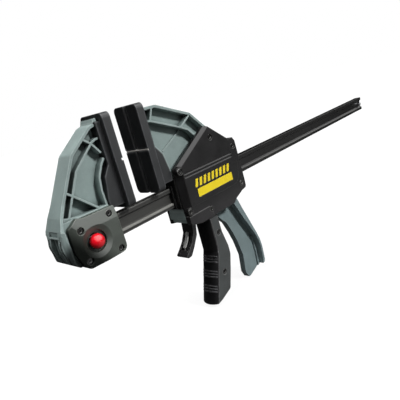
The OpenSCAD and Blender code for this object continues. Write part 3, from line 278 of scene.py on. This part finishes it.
def finish(
    name, colour, worn_and_glint, rough, specular=0.5, metallic=0.0, mottle=0.10, mottle_size=18 * MM,
    grain_size=0.5 * MM, grain_depth=0.02 * MM, stretch=(1, 1, 1), edge_width=2.0 * MM,
    rounding=0.8 * MM, coat=0.0, coat_rough=0.1, fleck=0.0, painted_light_ramps=(), shine_painted_too=False, crease_shade=None,
):
    """A moulded, turned or printed surface.

    Its colour drifts by mottle over mottle_size, its grain is a bump of grain_depth, and its outer
    edges go over to a paler edge colour, less and less as far in as edge_width, which is partly wear
    and partly a painted edge highlight. Stretch scales the pattern along each axis, and under 1 draws
    it out, as rolling does. Fleck strews paler specks. Each ramp of painted light and shade is
    (direction, start, end, factor): between two distances in that direction the tone goes over to
    factor times itself, as painted shade where the factor is under 1 and painted light where it is
    over 1, and where the shine is painted too, the shine goes with it. Painted crease shade is
    (distance, factor): corners and narrow pockets, as closed in as that distance, keep only factor of
    the tone."""
    material = bpy.data.materials.new(name)
    material.use_nodes = True
    graph = Graph(material.node_tree)
    place = graph.add("TexCoord", out="Object")
    drawn = graph.add("Mapping", {"Vector": place, "Scale": stretch})
    cloud = graph.noise(drawn, 1 / mottle_size, Detail=4.0, Roughness=0.6)
    grain = graph.noise(drawn, 1 / grain_size, Detail=2.0)
    tone = graph.blend(
        graph.span(cloud, *DRIFT_NOISE), shade(colour, 1 - mottle), shade(colour, 1 + mottle)
    )
    if fleck:
        spot = graph.span(graph.noise(place, FLECK_SCALE / grain_size), *FLECK_NOISE)
        tone = graph.blend(graph.math("MULTIPLY", spot, fleck), tone, shade(colour, FLECK_PALER))
    # Painted shade in corners and narrow pockets.
    if crease_shade:
        distance, factor = crease_shade
        tone = graph.scale(tone, graph.span(graph.openness(distance), *CREASE_SHADE_OPEN, factor, 1.0))
    edge = shade(worn_and_glint)
    # Painted light and shade: each ramp scales the tone along a direction.
    painted_light_kept = 1.0
    for direction, start, end, factor in painted_light_ramps:
        painted_light_ramp = ramp_along(graph, place, direction, start, end, 1.0, factor)
        painted_light_kept = graph.math("MULTIPLY", painted_light_ramp, painted_light_kept)
    if painted_light_ramps:
        tone = graph.scale(tone, painted_light_kept)
        edge = graph.scale(worn_and_glint, graph.math("MINIMUM", painted_light_kept, 1.0))
    # Paler outer edges: partly wear and partly a painted edge highlight.
    scuff = graph.span(graph.noise(place, SCUFF_SCALE, Detail=3.0), *SCUFF_NOISE, SCUFF_LEAST, 1.0)
    rubbed_and_glinting = graph.math(
        "MULTIPLY", graph.span(graph.openness(edge_width, inside=True), *EDGE_OPEN), scuff
    )
    tone = graph.blend(rubbed_and_glinting, tone, edge)
    polish = graph.span(cloud, *POLISH_NOISE, rough * POLISH_LOW, min(rough * POLISH_HIGH, 1.0))
    polish = graph.math(
        "SUBTRACT", polish, graph.math("MULTIPLY", rubbed_and_glinting, POLISH_RUBBED), clamp=True
    )
    rounded = graph.add("Bevel", {"Radius": rounding}, samples=RAYS)
    bumped = graph.add(
        "Bump", {"Height": grain, "Strength": 1.0, "Distance": grain_depth, "Normal": rounded}
    )
    shader = graph.add(
        "BsdfPrincipled",
        {
            "Base Color": tone, "Roughness": polish, "Metallic": metallic, "Normal": bumped,
            "Specular IOR Level": specular, "Coat Weight": coat, "Coat Roughness": coat_rough,
        },
    )
    # Where the shine is painted too, the painted shade dims it as well.
    if shine_painted_too:
        shine = graph.math("MULTIPLY", painted_light_kept, specular, clamp=True)
        graph.tree.links.new(shine, shader.node.inputs["Specular IOR Level"])
    end_in(graph, "Material", shader)
    return material


# Directions of the finishes' ramps of painted light and shade. A ramp's distances are measured from
# the frame's origin.
ALONG_BAR = (1, 0, 0)
DOWN = (0, 0, -1)
TO_HEEL = (-0.8, 0, -0.6)              # to the lower rear corner of the fixed jaw
TO_NEAR_SIDE = (-0.2, -0.95, -0.25)

LOOKS = {
    # Black steel, with painted shade towards its free end and below a line low on its sides, and a
    # painted highlight as that bright line.
    "bar_steel": dict(
        colour=(0.030, 0.030, 0.028), worn_and_glint=(0.12, 0.12, 0.115), rough=0.34, specular=0.40,
        mottle=0.22, stretch=(0.08, 1, 1),
        painted_light_ramps=[
            (ALONG_BAR, 60 * MM, 180 * MM, 0.10),
            (DOWN, 5.1 * MM, 5.9 * MM, 7.0),
            (DOWN, 7.5 * MM, 8.3 * MM, 0.10),
        ],
    ),
    # Springs and pins, all of them plain steel.
    "bright_steel": dict(
        colour=(0.52, 0.53, 0.55), worn_and_glint=(0.60, 0.61, 0.63), rough=0.28, metallic=1.0,
    ),
    # Drive and brake plates.
    "plate_steel": dict(
        colour=(0.30, 0.31, 0.32), worn_and_glint=(0.45, 0.46, 0.47), rough=0.35, metallic=1.0,
        stretch=(1, 1, 0.1),
    ),
    # Black screws, with edges painted pale, partly wear and partly painted glints.
    "screw_steel": dict(
        colour=(0.035, 0.035, 0.035), worn_and_glint=(0.30, 0.30, 0.29), rough=0.18, metallic=1.0,
        edge_width=0.6 * MM, rounding=0.4 * MM,
    ),
    # Grey jaws, with painted shade at the fixed jaw's heel, low on its near side, and in corners and
    # narrow pockets.
    "jaw_plastic": dict(
        colour=(0.226, 0.282, 0.273), worn_and_glint=(0.31, 0.37, 0.36), rough=0.50, specular=0.22,
        mottle=0.07, fleck=0.15, grain_depth=0.03 * MM, edge_width=1.4 * MM, crease_shade=(9 * MM, 0.25),
        painted_light_ramps=[(TO_HEEL, 52 * MM, 72 * MM, 0.30), (TO_NEAR_SIDE, 28 * MM, 31.5 * MM, 0.12)],
    ),
    "lever_plastic": dict(
        colour=(0.155, 0.198, 0.203), worn_and_glint=(0.18, 0.22, 0.23), rough=0.52, specular=0.2,
        mottle=0.07, fleck=0.12, grain_depth=0.03 * MM, edge_width=1.4 * MM,
    ),
    # Dark covers of the head, with painted shade in their tone and shine towards the heel.
    "head_plastic": dict(
        colour=(0.034, 0.041, 0.034), worn_and_glint=(0.12, 0.13, 0.11), rough=0.42, specular=0.9,
        mottle=0.12, edge_width=0.7 * MM, painted_light_ramps=[(TO_HEEL, 38 * MM, 58 * MM, 0.10)], shine_painted_too=True,
    ),
    # Black housing, guides and trigger, with painted light that makes them paler below the bar.
    "housing_plastic": dict(
        colour=(0.0044, 0.0042, 0.0044), worn_and_glint=(0.060, 0.060, 0.056), rough=0.34, specular=0.38,
        mottle=0.15, rounding=1.2 * MM, edge_width=0.5 * MM,
        painted_light_ramps=[(DOWN, 14 * MM, 30 * MM, 3.4)],
    ),
    "grip_plastic": dict(
        colour=(0.046, 0.050, 0.050), worn_and_glint=(0.085, 0.088, 0.086), rough=0.44, specular=0.4,
        mottle=0.12, rounding=1.8 * MM,
    ),
    # Soft black strip, with ribs whose edges are painted pale, partly wear and partly a painted
    # highlight.
    "grip_rubber": dict(
        colour=(0.0026, 0.0026, 0.0030), worn_and_glint=(0.24, 0.24, 0.25), rough=0.46, specular=0.35,
        mottle=0.15, grain_size=0.8 * MM, edge_width=0.6 * MM,
    ),
    "pad_rubber": dict(
        colour=(0.0085, 0.0092, 0.0100), worn_and_glint=(0.055, 0.057, 0.060), rough=0.46,
        mottle=0.14, grain_size=0.8 * MM, grain_depth=0.04 * MM, rounding=1.2 * MM,
    ),
    # Pale grey that paints the lit side of the trigger's black centre rib, a painted highlight.
    "rib_painted_lit": dict(
        colour=(0.26, 0.26, 0.25), worn_and_glint=(0.34, 0.34, 0.33), rough=0.36, mottle=0.15,
    ),
    # Pale bead in the moving jaw's pad groove, a painted highlight along the groove's lit line.
    "pad_bead": dict(
        colour=(0.30, 0.29, 0.275), worn_and_glint=(0.36, 0.35, 0.33), rough=0.40, mottle=0.15,
    ),
    # Glossy red.
    "button_plastic": dict(
        colour=(0.70, 0.002, 0.012), worn_and_glint=(0.72, 0.004, 0.016), rough=0.22, mottle=0.04, coat=0.6,
        coat_rough=0.08, grain_depth=0.004 * MM,
    ),
    # Yellow print.
    "label_film": dict(
        colour=(0.78, 0.60, 0.013), worn_and_glint=(0.80, 0.62, 0.02), rough=0.34, mottle=0.04,
        grain_depth=0.006 * MM, rounding=0.15 * MM, edge_width=0.5 * MM,
    ),
}
FINISHES = {name: finish(name, **look) for name, look in LOOKS.items()}

for part in frame["record"]["subparts"]:
    target = frame["nodes"][part["node"]]
    target.data.materials.clear()
    target.data.materials.append(FINISHES[part["material_slot"]])

# ------------------------------------------------------------------------------------------------
# Small pieces that the solids don't have, and springs with round wire in place of the plain ones
# ------------------------------------------------------------------------------------------------

# The middle of the trigger's front face from its top down, as (x, z) in millimetres.
TRIGGER_FRONT = (
    (67.6, -47.0), (66.6, -50.0), (64.9, -53.0), (62.8, -56.0), (60.3, -59.0), (57.4, -62.0),
)
TRIGGER_RIB_Y = 1.2 * MM
TRIGGER_RIB_HALF = 2.4 * MM
TRIGGER_RIB_THICK = 0.9 * MM
TRIGGER_RIB_ROUNDING = 0.5 * MM

# The bead lies in the level groove of the moving jaw's pad, flush with the pad's face.
pad_low, pad_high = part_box("moving_jaw_pad")
PAD_BEAD_R = 1.1 * MM
PAD_BEAD_INSET = 0.7 * MM              # from the pad's sides
PAD_BEAD_X = pad_low[0] + PAD_BEAD_R
PAD_BEAD_Z = 61.2 * MM
PAD_BEAD_HALF = pad_high[1] - PAD_BEAD_INSET


def dress(piece, material, body):
    """Gives a new piece its finish and its body."""
    piece.data.materials.append(FINISHES[material])
    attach(piece, body)


def add_rib(name, path, middle, half, thick, rounding):
    """A rib that follows a front face's path, (x, z) in millimetres: thick proud of it to -X, and as
    deep behind it."""
    corners = ((thick, -half), (-thick, -half), (-thick, half), (thick, half))
    shape = bmesh.new()
    rows = []
    for x, z in path:
        rows.append([
            shape.verts.new((x * MM + depth, middle + across, z * MM)) for depth, across in corners
        ])
    for above, below in zip(rows, rows[1:]):
        for this in range(len(corners)):
            following = (this + 1) % len(corners)
            shape.faces.new((above[this], above[following], below[following], below[this]))
    shape.faces.new(rows[0])
    shape.faces.new(rows[-1])
    bmesh.ops.recalc_face_normals(shape, faces=shape.faces)
    mesh = bpy.data.meshes.new(name)
    shape.to_mesh(mesh)
    shape.free()
    rib = bpy.data.objects.new(name, mesh)
    bpy.context.scene.collection.objects.link(rib)
    bevel = rib.modifiers.new("rounding", "BEVEL")
    bevel.width = rounding
    bevel.segments = 3
    return rib


def add_bead(name, points, radius):
    """A round bead from point to point."""
    curve = bpy.data.curves.new(name, "CURVE")
    curve.dimensions = "3D"
    curve.bevel_depth = radius
    curve.bevel_resolution = 4
    curve.use_fill_caps = True
    spline = curve.splines.new("POLY")
    spline.points.add(len(points) - 1)
    for point, place in zip(spline.points, points):
        point.co = (*place, 1.0)
    bead = bpy.data.objects.new(name, curve)
    bpy.context.scene.collection.objects.link(bead)
    return bead


def add_spring(node, body):
    """A spring with round wire in place of a node's plain one."""
    spring = bpy.data.objects.new(node + "_coil", frame["nodes"][node].data.copy())
    bpy.context.scene.collection.objects.link(spring)
    spring.modifiers.new("round_wire", "SUBSURF").levels = 1
    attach(spring, body)
    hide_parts(node)
    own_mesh(spring)


# The rib's pale finish is a painted highlight on the lit side of the trigger's black centre rib.
trigger_rib = add_rib(
    "trigger_rib", TRIGGER_FRONT, TRIGGER_RIB_Y, TRIGGER_RIB_HALF, TRIGGER_RIB_THICK,
    TRIGGER_RIB_ROUNDING,
)
dress(trigger_rib, "rib_painted_lit", "trigger")

# The bead's pale finish is a painted highlight along the pad's groove.
pad_bead_ends = [(PAD_BEAD_X, y, PAD_BEAD_Z) for y in (-PAD_BEAD_HALF, PAD_BEAD_HALF)]
pad_bead = add_bead("pad_groove_bead", pad_bead_ends, PAD_BEAD_R)
dress(pad_bead, "pad_bead", "moving_jaw")

add_spring("button_spring", "fixed_head")
add_spring("drive_spring", "moving_jaw")
